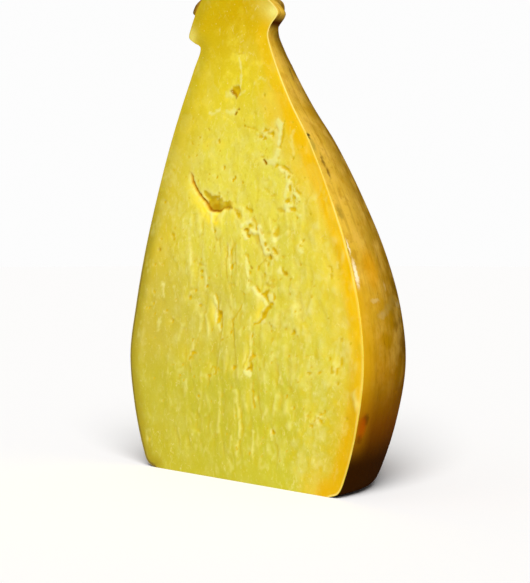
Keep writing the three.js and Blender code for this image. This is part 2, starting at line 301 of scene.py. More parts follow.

# Openings
# Places where a crumb of paste broke out, painted gold inside as shade.
# The deepest of them also have painted brown shade at the bottom.
OPENINGS = [  # rim and depth
    ([(23.7, 126.2), (25, 127), (28, 127.8), (30.8, 128.3), (30, 126.5), (29, 125.3), (29, 123.5),
      (29.8, 122), (29.5, 121.3), (27.5, 123.5), (26.5, 125)], 1.2),
    ([(30, 121.8), (31.5, 120.8), (33, 121), (35, 121), (34.8, 119.3), (32.5, 119.3),
      (30.5, 120.3)], 1.2),
    ([(31.5, 119), (32.8, 118), (31, 116), (30, 114), (28.5, 112), (26.5, 110.5), (25.3, 109.5),
      (25, 111), (24.3, 113.5), (25.8, 114.5), (27.5, 115.8), (29.5, 117.5)], 1.3),
    ([(9.5, 75.5), (10.5, 77), (13, 77.5), (14, 79.8), (15, 79.5), (15.3, 76.5), (15.8, 75), (14.5, 74.8),
      (13, 75.5)], 1.3),
    ([(-18.5, 113.5), (-16, 114), (-13.5, 113), (-13.5, 111.5), (-15.5, 109.5), (-16, 107), (-17, 105.5),
      (-19.3, 105.8), (-19, 108.5), (-18, 110.5)], 1.2),
    ([(7.8, 168.5), (9.5, 169.7), (10.7, 169), (11.5, 166.5), (13.8, 164.3), (13.5, 162.7), (12, 163.3),
      (10.8, 165.5), (9.3, 167.7)], 1.3),
    ([(12.5, 171.5), (13.5, 172), (15, 171), (14, 170.4), (12.7, 170.6)], 0.7),
    ([(35, 156.7), (36.5, 155.8), (39, 153), (38.3, 152.6), (36, 153.8), (35, 155)], 0.9),
    ([(27.2, 160), (28.3, 160), (29.7, 158), (29, 157.5), (27.8, 158.3)], 0.8),
    ([(43.3, 144), (44, 143.5), (45, 141.5), (47, 141.3), (47, 139.5), (45.5, 139), (44.5, 140),
      (43.3, 141.5)], 1.2),
    ([(11, 182.7), (13.5, 181.6), (16, 181), (16, 179.8), (13.5, 179.6), (12, 180.7)], 0.6),
    ([(0.3, 178.7), (2, 179.6), (3.8, 178.5), (3.5, 177.3), (1.5, 177.2)], 0.7),
    ([(55, 195), (56.3, 193.6), (58.8, 190.5), (58.3, 189.5), (57, 190.5), (55.3, 193)], 0.8),
    ([(52.4, 189.5), (53.6, 189.8), (54.6, 188.8), (54, 187.9), (52.8, 188)], 0.8),
    ([(46.5, 186), (47.2, 187.4), (48.6, 187.4), (49.2, 186), (48, 185.3)], 0.8),
    ([(50.3, 181.9), (52.5, 181.6), (55.5, 180.2), (54.5, 179.8), (51.5, 180.6)], 0.7),
    ([(47.5, 201.8), (49, 202.6), (50.2, 201.8), (49, 200.8)], 0.7),
    ([(25, 227.6), (26.5, 228.6), (29, 227.3), (28.5, 226.6), (26.5, 227)], 0.7),
    ([(26.5, 232), (28, 233.6), (30.5, 233), (32.2, 233.3), (31.5, 232.3), (28.5, 232)], 0.6),
    ([(22, 228.8), (23, 229.8), (24.2, 229), (23, 228.3)], 0.6),
    ([(25.8, 213.5), (27, 213.2), (28.8, 211.2), (28.3, 210.8), (26.5, 211.8)], 1.6),
    ([(-4.8, 261.3), (-3.5, 262), (-2.8, 263.5), (0, 263.7), (2.5, 263.3), (3.3, 261), (2, 258.5),
      (1, 256.8), (0, 256.3), (-1.5, 258.5), (-3.3, 260.3)], 1.4),
]
BROWN_DEPTH = 1.4, 1.7


def inside_mm(rim, margin):
    """The part of the map around a rim, and how far inside the rim each place lies, in mm."""
    part = window(rim, margin)
    closed = np.array([*rim, rim[0]], float)
    away, _ = nearest(closed, TORN_X[part], TORN_Z[part])
    return part, np.where(enclosed(closed[:-1], TORN_X[part], TORN_Z[part]), away, -away)


for rim, depth in OPENINGS:
    part, inside = inside_mm(rim, 4)
    inside += 0.25 * nibbled[part]
    sunk[part] += 0.7 * depth * rise(inside, -0.6, 0.9)
    # painted gold shade inside, and painted brown shade at the bottom of the deepest
    honey[part] += rise(inside, -0.9, 0.1)
    crevice[part] += 0.45 * rise(depth, *BROWN_DEPTH) * rise(inside, -0.7, 0.3)

# Eyes
# Slit-like holes that gas left in the curd. The main ones are placed and the small ones are drawn.
# Each leans a little from upright, and is painted gold inside as shade.
MAIN_EYES = [  # x, z and half height
    (2.2, 248.8, 1.5), (0, 246, 1.2), (27, 255.8, 1.3), (8, 236.8, 1.2), (-26, 237, 1.4),
    (-16.3, 229, 1.3), (-12, 209.7, 1.8), (-1, 203.4, 1.5), (-2.6, 202, 1.3), (-37.5, 202.3, 1),
    (-18.3, 204, 0.9), (-7.5, 193.6, 0.9), (68, 177.5, 1.4), (59.5, 157.5, 1.7), (-78.8, 155.3, 1.9),
    (-20.8, 168, 1.5), (22, 143.2, 1.5), (-4.5, 144, 1.7), (60, 146, 1.2), (-84.5, 144.8, 1.4),
    (-35, 141, 1.4), (-26.5, 136, 1.2), (50, 127, 1.2), (-40.5, 127.4, 1.6), (-28.7, 130.5, 1.3),
    (-45.8, 122.2, 1.9), (-35.5, 117, 1.4), (-65, 106, 1.9), (54, 102, 1.6), (55, 116, 0.9),
    (-90, 114, 1.4), (-44, 92.6, 1), (-54, 76, 1.5), (-2, 76, 1.4), (99, 50.3, 1.5), (69.5, 43, 1.6),
    (35, 36.5, 1.9), (85, 86.5, 1.2), (92.3, 72.5, 0.9), (76, 77.5, 1.3), (46.8, 60.7, 1.5),
    (54, 53.3, 1.3), (77, 52, 1.4), (80.8, 53.7, 1.4), (48.6, 87, 1), (58, 71, 0.7), (-60, 159, 1),
    (-71.5, 112.8, 1), (60.5, 146, 1), (86, 138.5, 1.6),
]
SMALL_EYES = 190
SMALL_EYE_Z, SMALL_EYE_SPAN, SMALL_EYE_MARGIN = 18, 230, 6
EYE_LEAN = 0.9
draw = np.random.default_rng(7)
small_z = SMALL_EYE_Z + SMALL_EYE_SPAN * draw.random(SMALL_EYES)
small_width = np.interp(small_z, row_z, np.minimum(row_right, -row_left)) - SMALL_EYE_MARGIN
small_x = small_width * (2 * draw.random(SMALL_EYES) - 1)
small_half = 0.5 + 0.7 * draw.random(SMALL_EYES) ** 2
for x0, z0, half in [*MAIN_EYES, *zip(small_x, small_z, small_half)]:
    part = window([(x0, z0)], half + 3)
    x, z = TORN_X[part] - x0, TORN_Z[part] - z0
    lean = EYE_LEAN * (draw.random() - 0.5)
    across = x * math.cos(lean) + z * math.sin(lean)
    up = z * math.cos(lean) - x * math.sin(lean)
    out = np.hypot(across / (half * (0.6 + 0.3 * draw.random())), up / half) + 0.2 * nibbled[part]
    dip = np.clip(1 - out**2, 0, 1)
    sunk[part] += 0.6 * half * dip
    # painted gold shade inside the eye
    honey[part] += rise(dip, 0, 0.4)

# Furrows and brown edge shade
# Furrows are thin breaks between flakes, widest in the middle, and painted gold inside as shade. Where an
# opening runs deep under its edge, the edge has painted brown shade.
FURROWS = [  # line, half width and depth
    ([(19, 130.8), (20, 129.6), (21.8, 128.3)], 0.7, 1),
    ([(35, 127), (36.3, 126), (36.5, 124), (35.8, 122.5)], 0.6, 0.9),
    ([(25, 110), (22, 108), (19.5, 106.5), (17, 106)], 0.9, 1),
    ([(15.5, 100.5), (15.7, 97.5)], 0.7, 1),
    ([(16.5, 96), (16.8, 92.5)], 0.6, 0.6),
    ([(15.5, 89), (15.5, 86.5), (18, 85)], 0.7, 0.8),
    ([(15.5, 84.7), (13.8, 83), (13.5, 81)], 0.7, 0.8),
    ([(16, 72), (16, 62)], 0.5, 0.6),
    ([(17, 62), (16.5, 57), (18, 51)], 0.8, 0.8),
    ([(34, 98), (34, 92.5)], 0.8, 0.5),
    ([(33, 87.8), (35, 88.2)], 0.7, 0.5),
    ([(26.7, 84), (26.7, 79)], 0.6, 0.5),
    ([(43, 71.5), (43, 69)], 0.7, 0.5),
    ([(31.5, 131), (35.5, 130.8)], 0.8, 0.6),
    ([(33, 134.6), (35, 134.4)], 0.8, 0.6),
    ([(-1, 182), (2, 180), (5, 175.5)], 1.8, 0.65),
    ([(15.5, 175.5), (18, 173.5), (19.5, 171)], 0.7, 0.7),
    ([(19.3, 170), (19.7, 168)], 0.7, 0.9),
    ([(14.5, 165), (19.5, 163.2), (22, 160), (24.5, 155.5)], 2, 0.45),
    ([(24, 168.5), (25, 166)], 0.6, 0.7),
    ([(30.3, 155.8), (31.3, 154.3)], 0.8, 1),
    ([(32.3, 152.3), (33.3, 149)], 0.7, 1),
    ([(43, 150.5), (45, 149.8)], 0.9, 0.6),
    ([(36, 164.5), (38.5, 166.3), (39.5, 168.5)], 1.6, 0.5),
    ([(29.5, 166), (31.5, 165.6)], 1.3, 0.4),
    ([(11, 152.5), (12, 149)], 0.7, 0.6),
    ([(11.7, 147.5), (13.3, 145.8)], 0.9, 1),
    ([(14.3, 144.3), (15.5, 142.5)], 0.9, 1),
    ([(12.5, 140.7), (13.8, 139)], 0.9, 0.9),
    ([(8, 152), (10, 152)], 1, 0.4),
    ([(27, 149), (29, 148)], 1, 0.5),
    ([(30.5, 146.3), (30.7, 144.5)], 0.7, 0.8),
    ([(-4.5, 157), (-4.5, 151), (-4.5, 146)], 0.7, 0.6),
    ([(40, 181), (42.5, 180.4), (45, 179.9)], 1, 0.6),
    ([(23.5, 215.7), (27.3, 216.2)], 0.5, 0.6),
    ([(37, 209.3), (39, 209.6)], 0.8, 1),
    ([(38.3, 214.6), (40, 214)], 0.9, 0.5),
    ([(42, 209.5), (45, 208), (48.5, 206), (51.5, 203.3)], 0.8, 0.7),
    ([(50.3, 196.5), (50.3, 193)], 0.8, 0.8),
    ([(26, 196), (28.5, 194.6), (31, 193)], 0.8, 0.45),
    ([(33, 190.2), (38, 190.6)], 0.5, 0.5),
    ([(28, 199.7), (31, 199.9)], 0.5, 0.4),
    ([(31, 230.8), (33, 230), (35.2, 230.4)], 0.7, 0.8),
    ([(44.5, 236), (44.3, 231), (43, 226), (41.7, 221)], 0.9, 0.7),
    ([(9, 235.6), (15, 234.6), (20, 233.4)], 0.5, 0.6),
    ([(-20.7, 125.6), (-18.6, 121), (-17.5, 117)], 0.8, 0.7),
    ([(-17.3, 117), (-16.5, 114)], 0.8, 0.8),
    ([(-14.9, 103.8), (-14.5, 101)], 0.8, 0.9),
    ([(-14.5, 93.2), (-12.3, 94.6)], 0.8, 1),
    ([(-9.5, 96), (-8.4, 96.8)], 0.6, 0.6),
    ([(-6, 98.8), (-5.2, 100.6)], 0.9, 0.9),
    ([(-3.2, 104), (-2.7, 106.3)], 0.8, 0.8),
    ([(-48, 80), (-45, 81.7)], 0.8, 0.8),
    ([(-45, 82.5), (-44, 84), (-41, 84.3)], 0.8, 0.8),
    ([(-25, 73), (-24, 75), (-21.5, 75), (-20, 73), (-20.3, 71), (-22.5, 70.3)], 0.7, 0.7),
    ([(-28, 70), (-26, 68.6)], 0.9, 0.7),
    ([(-17.7, 74.3), (-16, 74.4)], 0.7, 0.7),
    ([(1, 285), (7, 285)], 0.45, 0.6),
    ([(17.5, 244.7), (20, 244.4)], 0.5, 0.5),
    ([(94.3, 100), (94.5, 98)], 0.8, 0.9),
    ([(94.8, 88), (94.3, 84.5)], 0.9, 1),
    ([(91.5, 82), (91, 77.5)], 0.9, 1),
    ([(87, 82), (86.7, 78.5)], 0.8, 0.9),
    ([(85.2, 87.5), (85, 86)], 0.8, 0.8),
    ([(91.8, 73.5), (92, 71.5)], 0.8, 0.7),
    ([(66, 50.5), (66.3, 48.5)], 0.8, 0.9),
    ([(54.7, 104), (53, 102), (51, 101)], 0.8, 0.8),
    ([(66, 76.5), (69, 77)], 0.7, 0.8),
    ([(72.5, 76), (72.5, 73.5)], 0.7, 0.6),
    ([(75, 48.6), (77, 47.6), (78.3, 46.4)], 1.2, 1),
    ([(83.5, 145.2), (85.3, 144), (86.8, 141.5)], 0.9, 0.9),
    ([(92, 145.5), (92.8, 142.5)], 0.7, 0.5),
    ([(-65, 166), (-63.5, 165), (-62, 163.3)], 0.9, 0.8),
    ([(-77, 145), (-75, 144.8)], 0.6, 0.6),
    ([(-47, 170), (-46.8, 161), (-46.5, 153)], 1.2, 0.35),
    ([(-44, 151), (-42.5, 147)], 1, 0.4),
]
for line, half_width, depth in FURROWS:
    part = window(line, 7)
    away, along = nearest(smooth_line(line, 6), TORN_X[part], TORN_Z[part])
    wide = half_width * (0.5 + 0.5 * np.sin(math.pi * along)) * (1 + 0.3 * ragged[part])
    opened = rise(away + 0.2 * nibbled[part], 1.4 * wide + 0.4, 0.5 * wide)
    sunk[part] += 0.5 * depth * opened
    # painted gold shade inside the furrow
    honey[part] += 0.9 * opened * rise(depth, 0.1, 1)

BROWN_EDGE_SHADES = [  # line, half width and darkness
    ([(-5.2, 261.6), (-3.6, 260), (-1.8, 258.3), (0, 256)], 0.8, 0.6),
    ([(26, 213.2), (27, 212.5), (28.3, 211.3)], 0.7, 0.6),
    ([(-1.2, 245.8), (0.8, 246.4)], 0.7, 0.7),
    ([(1.2, 248.2), (2.6, 249.2)], 0.7, 0.4),
    ([(-80, 155.6), (-77.8, 155)], 0.8, 0.35),
    ([(8.5, 168.8), (10.3, 169)], 0.6, 0.35),
    ([(32.4, 152), (33.2, 149.4)], 0.6, 0.35),
    ([(11, 76.6), (13.3, 77)], 0.6, 0.3),
    ([(45, 140), (46.5, 140.3)], 0.7, 0.3),
    ([(26, 113), (27.5, 114.3)], 0.7, 0.25),
    ([(10.8, 167.3), (11.6, 165.5), (12.8, 163.7)], 0.7, 0.3),
    ([(28, 159.8), (29.2, 158)], 0.5, 0.2),
    ([(30.4, 155.5), (31, 154.5)], 0.5, 0.15),
    ([(35.5, 156), (37, 154.5), (38.5, 153.1)], 0.5, 0.15),
    ([(14.6, 144.2), (15.2, 142.8)], 0.6, 0.35),
    ([(28, 125.8), (29, 124)], 0.6, 0.2),
    ([(-16.5, 112.5), (-14.5, 112.3)], 0.7, 0.25),
]
for line, half_width, darkness in BROWN_EDGE_SHADES:
    part = window(line, 4)
    away, _ = nearest(np.array(line, float), TORN_X[part], TORN_Z[part])
    # painted brown shade along the edge
    crevice[part] += darkness * rise(away, 1.4 * half_width + 0.3, 0.3 * half_width)

# Shells and ridges
# Shells are paste that lifted at the edge of an opening. Ridges are the edges of folds and veins.
# Both stand a little proud of the cut and are paler.
SHELLS = [  # rim, height and paleness
    ([(5.5, 170.5), (9, 172), (11, 172.2), (16, 174.2), (16, 175.5), (12.5, 175), (9.5, 174),
      (6, 171.5)], 0.5, 0.8),
    ([(20, 170.3), (21.5, 171.5), (23.5, 170.3), (25, 167.5), (26.2, 164.5), (27.3, 161), (28.6, 157.7),
      (30, 155), (31.5, 152.3), (28.5, 150.8), (26.5, 153.5), (24.5, 157.5), (22.8, 161.5), (21, 164.7),
      (19.5, 166.5), (17, 165.7), (13.5, 165.7), (13.5, 168), (17, 168.4), (19.5, 168.6)], 0.8, 0.85),
    ([(29.5, 125.5), (31, 126.5), (33.5, 126.2), (35, 126), (35.3, 123.5), (35, 121.8), (33, 121.3),
      (31, 121.8), (29.8, 123.5)], 0.5, 0.5),
    ([(14, 131), (18, 131.3), (20, 128.5), (23, 126), (26, 123), (28.8, 120.8), (29, 118), (26.5, 119.5),
      (24, 122), (21, 124.5), (17, 127.5)], 0.3, 0.55),
    ([(22, 107), (24, 109), (27, 109.5), (28.5, 108), (26, 106.3)], 0.2, 0.4),
    ([(7.5, 74.5), (9, 75.3), (12.5, 75.3), (14.5, 74.6), (14.5, 72), (12.5, 70.5), (9, 71.2)], 0.4, 1),
    ([(-22, 124.5), (-20.8, 124), (-19, 119), (-18.2, 114.5), (-18.8, 110), (-19.5, 107), (-20.8, 107),
      (-21, 112), (-22, 118)], 0.3, 0.75),
    ([(-18, 105.3), (-16.3, 105.5), (-15.3, 101.5), (-16.3, 99.8), (-17.8, 101.5)], 0.2, 0.5),
    ([(40, 240), (43.5, 236), (43.7, 231), (42.3, 226.5), (41, 222), (39, 222.5), (39.5, 227),
      (39.5, 232), (38, 237)], 0.3, 0.6),
    ([(38, 220), (41, 219.5), (40.5, 216), (38.5, 214.3), (38.8, 211.5), (36, 210.5), (30, 211),
      (29, 213.5), (33, 214.3), (36.5, 215.5)], 0.3, 0.55),
    ([(40, 208), (44, 208), (47.5, 206), (48, 202.7), (46.5, 201.5), (45.5, 204), (41, 206.3)], 0.3, 0.6),
    ([(49, 200), (51.5, 199), (53.5, 196.5), (55, 193), (58, 190.3), (58.5, 187), (57, 185.5),
      (55.3, 187), (55, 190.3), (51.7, 192.5), (51.3, 197), (49.5, 196.5), (49.3, 193), (47, 191),
      (46, 188.5), (44.5, 190), (46.5, 195)], 0.35, 0.45),
    ([(46, 184.5), (49, 184.8), (50, 182.5), (49.5, 179.5), (47, 180), (46, 182)], 0.3, 0.7),
    ([(32.5, 161), (36, 162.6), (40.5, 163.6), (41, 162.6), (38, 161.2), (35, 160.6)], 0.2, 0.6),
    ([(9, 150.5), (10.8, 149), (11.2, 146.5), (13, 143.5), (12, 140.5), (11.5, 137.5), (10, 137.5),
      (9.5, 144)], 0.25, 0.6),
    ([(38.5, 141), (40, 144), (42, 145), (43, 143), (43.3, 141), (43.5, 139.8), (41, 139)], 0.2, 0.5),
    ([(5.3, 169.2), (7.5, 168), (9.8, 165.3), (11.3, 162.3), (9.5, 162), (7, 165.5)], 0.3, 0.7),
    ([(90, 147.5), (92, 147), (91.5, 144), (89.5, 144.5)], 0.2, 0.4),
    ([(73.5, 49.5), (74.8, 49), (76.5, 46.5), (75.5, 44.5), (74, 46)], 0.2, 0.5),
    ([(-76, 132), (-74.2, 131.5), (-74.5, 128.8), (-75.8, 129.5)], 0.2, 0.4),
    ([(58, 155), (60, 155.5), (62, 153.5), (60, 153)], 0.2, 0.45),
]
pale = np.zeros(X.shape)
for rim, height, paleness in SHELLS:
    part, inside = inside_mm(rim, 4)
    lifted = rise(inside + 0.2 * nibbled[part], -0.8, 0.2)
    sunk[part] -= 0.6 * height * lifted
    pale[part] += 1.3 * paleness * lifted
bright += pale * (0.75 + 0.25 * rise(ragged + 0.6 * nibbled, -1.2, 1))
BESIDE = int(2 / STEP)
bright += 0.5 * np.clip(np.roll(soften(pale, 1.6, 1.2), -BESIDE, axis=1) - pale, 0, 1)

RIDGES = [  # line, half width, height and paleness
    ([(50, 183), (53.5, 182)], 0.7, 0.3, 0.6),
    ([(50, 180), (54, 178.6), (58, 177)], 0.8, 0.3, 0.7),
    ([(-33, 145), (-31, 136), (-30, 129)], 1.5, 0.2, 0.4),
    ([(13.7, 110), (14, 100), (13.7, 84)], 1, 0.2, 0.5),
    ([(28, 146), (28.5, 140.5)], 1.2, 0.2, 0.4),
    ([(34, 152), (38, 149.7)], 1.2, 0.2, 0.4),
    ([(-43.5, 92), (-43, 86)], 0.8, 0.2, 0.4),
    ([(-4, 125), (-4.3, 114), (-3.5, 105)], 0.7, 0.2, 0.3),
    ([(6, 122), (6.5, 112)], 0.8, 0.2, 0.3),
    ([(12, 136), (12, 128)], 1.5, 0.2, 0.4),
    ([(-45.5, 176), (-46.5, 168), (-46, 160)], 0.9, 0.2, 0.3),
    ([(52.5, 231), (52, 224), (53.5, 216)], 0.9, 0.15, 0.4),
    ([(3, 282), (4.5, 276), (4.5, 268), (3.8, 263)], 0.8, 0.15, 0.6),
    ([(2, 258), (5, 258.3), (8, 260)], 0.9, 0.15, 0.6),
    ([(-9, 247.5), (-5, 246.5), (-2, 248)], 1.2, 0.1, 0.5),
    ([(18, 264), (20, 267), (24, 267.5), (27.5, 266)], 0.8, 0.15, 0.6),
    ([(-26, 248), (-20, 248.5), (-15.5, 250)], 0.9, 0.1, 0.6),
    ([(-9, 259), (-5, 258.5)], 2, 0.1, 0.4),
    ([(-24, 180), (-23.8, 171), (-22.5, 168)], 0.9, 0.2, 0.5),
    ([(5, 181.5), (8, 179), (10.5, 176.5)], 2, 0.1, 0.35),
    ([(30.5, 157.5), (33, 152.5)], 1.2, 0.2, 0.5),
    ([(92.5, 99), (91, 93), (89, 85)], 1.2, 0.2, 0.35),
    ([(88.5, 98), (87, 92)], 1.2, 0.2, 0.25),
    ([(96, 97), (95.5, 90)], 1.2, 0.2, 0.25),
    ([(40.5, 78), (41.5, 74), (43.5, 69)], 0.9, 0.2, 0.5),
    ([(33.5, 38), (34, 32)], 1, 0.2, 0.5),
    ([(-76, 132), (-75.5, 128), (-74.2, 122)], 1, 0.15, 0.5),
    ([(-62.5, 129.5), (-62, 125), (-61.2, 120)], 1, 0.15, 0.45),
    ([(-78.5, 108), (-79.5, 103), (-80.5, 98)], 1, 0.15, 0.5),
    ([(-48, 170), (-46.5, 158), (-44.5, 145)], 0.9, 0.15, 0.35),
    ([(-33, 155), (-31, 143), (-30, 132)], 1, 0.15, 0.4),
    ([(-7.5, 160), (-6.5, 148), (-5.5, 140)], 1, 0.15, 0.4),
]
for line, half_width, height, paleness in RIDGES:
    part = window(line, 8)
    away, _ = nearest(smooth_line(line, 6), TORN_X[part], TORN_Z[part])
    proud = rise(away + 0.3 * nibbled[part], 1.4 * half_width + 0.3, 0.4 * half_width)
    proud *= rise(ragged[part], -2.6, 0)
    sunk[part] -= 0.5 * height * proud
    bright[part] += paleness * proud

# Crumble and patches
# In a few bands the paste broke into crumbs instead of tearing clean. Under the neck it is waxy, and broke
# in shallow patches with thin pale edges.
CRUMBLE = [  # line and half width
    ([(47, 204), (50, 198), (55, 192), (52, 186)], 4),
    ([(22, 229), (28, 230.5), (35, 231)], 3.5),
    ([(30, 154), (33, 149), (37, 152)], 2.5),
    ([(73, 47), (77, 51)], 2.5),
]
border, level, _ = cells(2, 2.4, 41)
for line, half_width in CRUMBLE:
    part = window(line, 12)
    away, _ = nearest(smooth_line(line, 6), TORN_X[part], TORN_Z[part])
    broken = rise(away + 0.8 * ragged[part], half_width * 1.5, half_width * 0.5)
    gap = np.exp(-((border[part] / 0.3) ** 2)) * rise(level[part], 0.45, 0.75)
    sunk[part] += broken * (0.3 * (level[part] - 0.5) + 0.4 * gap)
    # painted gold shade in the gaps between crumbs
    honey[part] += 0.5 * broken * gap
    bright[part] += 0.4 * broken * rise(level[part], 0.6, 0.2)

border, level, _ = cells(8, 10, 71)
waxy = rise(Z, 150, 190) * rise(Z, 300, 268)
sunk += 0.35 * waxy * soften(level - 0.5, 0.5, 0.5)
patch_edge = np.exp(-((border / 0.4) ** 2)) * rise(lumps(6, 6, 72), 0.5, 1.6)
bright += waxy * (0.1 * soften(rise(level, 0.45, 1), 0.6, 0.6) + 0.2 * patch_edge)

# Thin and proud paste
# Light comes through the thin paste on the left of each opening, so that side gets a painted glow and a
# painted highlight. Paste that stands proud or slopes towards the light gets a painted highlight, and
# hollows and slopes turned from the light get painted gold shade. Some patches dried paler.
beside = np.clip(np.roll(soften(honey, 0.8, 0.8), -BESIDE, axis=1) - honey, 0, 1)
bright += 0.4 * beside
# painted glow left of the openings
GLOW_BESIDE = int(5 / STEP)
lit_through = np.roll(soften(honey, 2.5, 3.5), -GLOW_BESIDE, axis=1) - honey
glow += 1.1 * np.clip(lit_through, 0, 0.5) * stringy
sunk += 0.15 * beside
dry = rise(lumps(8, 11, 42), 0.2, 1.8) * rise(lumps(2.5, 3.5, 43), -0.6, 1.2)
bright += (0.1 + 0.15 * stringy) * dry
sunk = soften(sunk, 0.25, 0.25)
# painted highlights on proud paste and slopes towards the light, painted gold shade in hollows and slopes
# away
hollow = sunk - soften(sunk, 2.5, 2.5)
slope = np.gradient(sunk, STEP, axis=1)
bright += 0.4 * rise(hollow, -0.06, -0.35) + 0.3 * rise(slope, 0.06, 0.5)
honey += 0.5 * rise(hollow, 0.06, 0.5) + 0.3 * rise(slope, -0.06, -0.5)


def read(field, x, z):
    """A map's value at places on the cut."""
    u = np.clip((x - MAP_X[0]) / STEP, 0, len(MAP_X) - 1.001)
    w = np.clip((z - MAP_Z[0]) / STEP, 0, len(MAP_Z) - 1.001)
    i, j = w.astype(int), u.astype(int)
    a, b = w - i, u - j
    upper = field[i + 1, j] * (1 - b) + field[i + 1, j + 1] * b
    return (field[i, j] * (1 - b) + field[i, j + 1] * b) * (1 - a) + upper * a


# The mesh
# Each row is one ring of the closed half: from the right edge round the rind, and back over the cut.
# Behind the cut the knob is rounder than the cut's edges, which stand out from it as a flange.
KNOB_BACK = [  # height, radius and middle of the rind behind the cut
    (278, 39.3, -3),
    (284, 36.2, -2.9),
    (291, 32.9, -2.6),
    (297, 30.4, -2.7),
    (302, 29.3, -2.7),
    (306, 29.9, -2.8),
    (309, 31.2, -3),
    (312, 33.1, -3.3),
    (316, 34.4, -4.2),
    (319.5, 34.5, -5.2),
    (322, 32.6, -5.9),
    (326, 28.2, -6.8),
    (330, 21.3, -7),
    (333.5, 13, -7),
    (336, 0, -7),
]
FLANGE_END = 9, 33  # degrees round from either edge of the cut
FOLD_ANGLE, FOLD_HALF_ANGLE = 172, 6.5  # a blunt fold of rind behind the knob's left edge
FOLD_Z, FOLD_HALF_HEIGHT = 321.5, 5.5
FOLD_STANDS_OUT = 11
GATHER_Z, GATHER_RISE = 290, 14  # the knob's rind is gathered into soft folds
GATHER_COUNT, GATHER_SHARE = 7, 0.045
EDGE_MM = 0.7  # the rind's first step from the cut, so the edge stays crisp
DENT_MM = 0.25
WAY_ROUND = 300  # mm round the rind from edge to edge, near enough for its dents
FOOT_MIDDLE = (0, 40, 0)
ring = RIND_COLUMNS + CUT_COLUMNS
z_of = row_z[:-1, None]
middle = (row_right + row_left)[:-1, None] / 2
half_width = (row_right - row_left)[:-1, None] / 2
t = np.linspace(0, 1, RIND_COLUMNS - 1)[None, :]
edge_angle = np.minimum(EDGE_MM / half_width, 0.1)
angle = edge_angle + (math.pi - 2 * edge_angle) * (0.45 * t + 0.55 * (0.5 - 0.5 * np.cos(math.pi * t)))
angle = np.hstack([0 * edge_angle, angle, 0 * edge_angle + math.pi])
behind = rise(np.sin(angle), *np.sin(np.radians(FLANGE_END)))
back_z, back_radius, back_middle = smooth_line(KNOB_BACK, 12).T
above = z_of > KNOB_BACK[0][0]
back = np.where(above, np.interp(z_of, back_z, back_radius), half_width)
rind_middle = middle + behind * np.where(above, np.interp(z_of, back_z, back_middle) - middle, 0)
gathered = GATHER_SHARE * rise(z_of, GATHER_Z, GATHER_Z + GATHER_RISE)
gathered = gathered * np.sin(angle) * np.cos(GATHER_COUNT * angle)
fold_height = ((z_of - FOLD_Z) / FOLD_HALF_HEIGHT) ** 4
fold = FOLD_STANDS_OUT * np.exp(-(((np.degrees(angle) - FOLD_ANGLE) / FOLD_HALF_ANGLE) ** 2) - fold_height)
rind_spacing = (WAY_ROUND / RIND_COLUMNS, TOP / ROWS)
dents = DENT_MM * lumps(45, 60, 51, (ROWS, RIND_COLUMNS + 1), rind_spacing)
dents = dents * np.sin(angle) * rise(z_of, 4, 20)
rind_radius = (half_width + (back - half_width) * behind) * (1 + gathered) + fold + dents
rind_radius[:, [0, -1]] = half_width
rind_x = rind_middle + rind_radius * np.cos(angle)
rind_x[:, [0, -1]] = middle + half_width * (1, -1)

u = np.linspace(-1, 1, CUT_COLUMNS + 1)[1:-1][None, :]
cut_x = middle + half_width * (0.6 * u + 0.85 * u**3 - 0.45 * u**5)
cut_z = np.repeat(z_of, CUT_COLUMNS - 1, 1)
edge_line = np.vstack([np.stack([row_right, row_z], 1), np.stack([row_left, row_z], 1)[::-1]])
rim_mm = nearest(edge_line[::2], cut_x, cut_z)[0]
settle = rise(rim_mm, 0, 3) * rise(cut_z, 0, 6)

x = np.hstack([rind_x, cut_x])
y = np.hstack([rind_radius * np.sin(angle), read(sunk, cut_x, cut_z) * settle])
y[:, RIND_COLUMNS] = 0
points = np.stack([x, y, np.broadcast_to(z_of, x.shape)], -1).reshape(-1, 3)
top_point, foot_point = len(points), len(points) + 1
points = np.vstack([points, [row_right[-1], 0, TOP], FOOT_MIDDLE])

row, column = np.meshgrid(np.arange(ROWS - 1), np.arange(ring), indexing="ij")
here, beyond = row * ring + column, row * ring + (column + 1) % ring
quads = np.stack([here, beyond, beyond + ring, here + ring], -1).reshape(-1, 4)
j = np.arange(ring)
last = (ROWS - 1) * ring
cap = np.stack([last + j, last + (j + 1) % ring, np.full(ring, top_point)], -1)
base = np.stack([(j + 1) % ring, j, np.full(ring, foot_point)], -1)

axis_x = cad_high.x - max(row_right) * MM
cut_y = cad_low.y
body = bpy.data.meshes.new("provola_half")
body.from_pydata(points * MM + (axis_x, cut_y, 0), [], [*quads.tolist(), *cap.tolist(), *base.tolist()])
on_cut = np.concatenate([column.ravel() >= RIND_COLUMNS, j >= RIND_COLUMNS, np.zeros(ring, bool)])
body.polygons.foreach_set("material_index", np.where(on_cut, 0, 1).astype(np.int32))
body.polygons.foreach_set("use_smooth", np.ones(len(body.polygons), bool))

# Values stored in the mesh for the finishes
# For the rind they are places in mm and degrees, and painted shade in the cord groove and behind the fold.
# For the cut they are the shares from the maps, the pale rim, the golden band under the rind with its
# painted glow on the right, painted shade along the left edge and the creamy corners.


def mark(name, on_rind, on_face):
    """Stores a value for each point."""
    values = np.hstack([np.broadcast_to(on_rind, rind_radius.shape), np.broadcast_to(on_face, cut_x.shape)])
    values = np.concatenate([values.ravel(), [0, 0]]).astype(np.float32)
    body.attributes.new(name, "FLOAT", "POINT").data.foreach_set("value", values)


